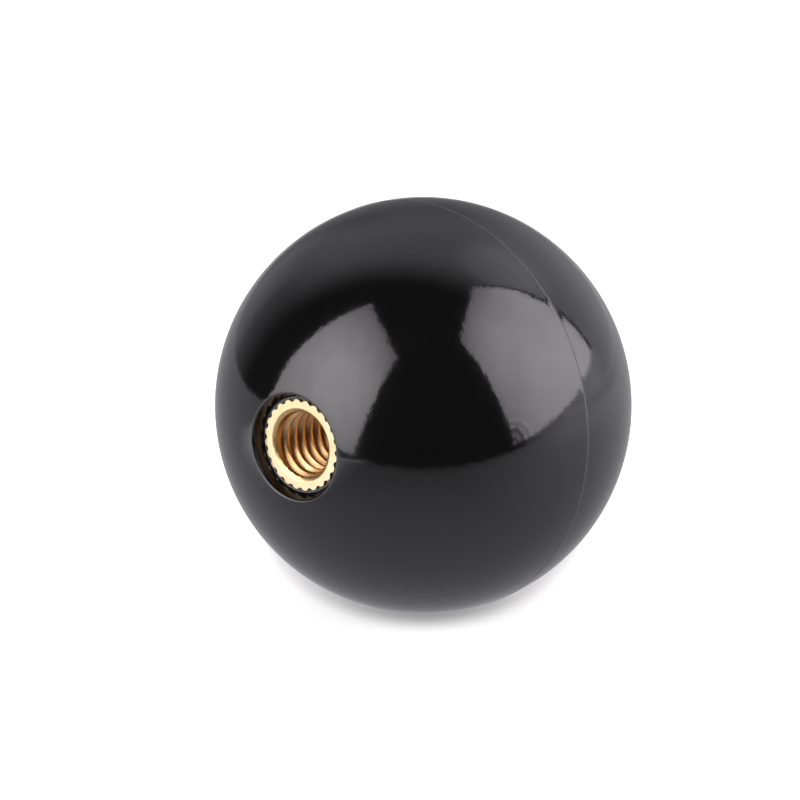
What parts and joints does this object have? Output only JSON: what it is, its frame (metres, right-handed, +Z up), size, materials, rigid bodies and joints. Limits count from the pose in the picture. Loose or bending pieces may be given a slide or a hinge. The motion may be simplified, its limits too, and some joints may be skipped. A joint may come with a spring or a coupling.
{
  "type": "ball knob",
  "caption": "Glossy black moulded plastic ball knob with a straight-knurled brass insert, threaded M6, in a shallow round recess at its mouth.",
  "frame": {"origin": "on the thread axis, where the full thread begins at the foot of the insert's countersink, 0.35 mm inside the insert's face", "axes": "the thread axis is Y and the mouth faces -Y; +Z up, with the ball on its side as in the picture, its lowest point at z = -17.53 mm"},
  "size_m": [0.035, 0.0343, 0.035],
  "materials": {
    "ball": "high gloss moulded",
    "threaded_insert": "bright turned"
  },
  "bodies": {
    "root": {"ball": "ball", "threaded_insert": "threaded_insert"}
  },
  "joints": []
}
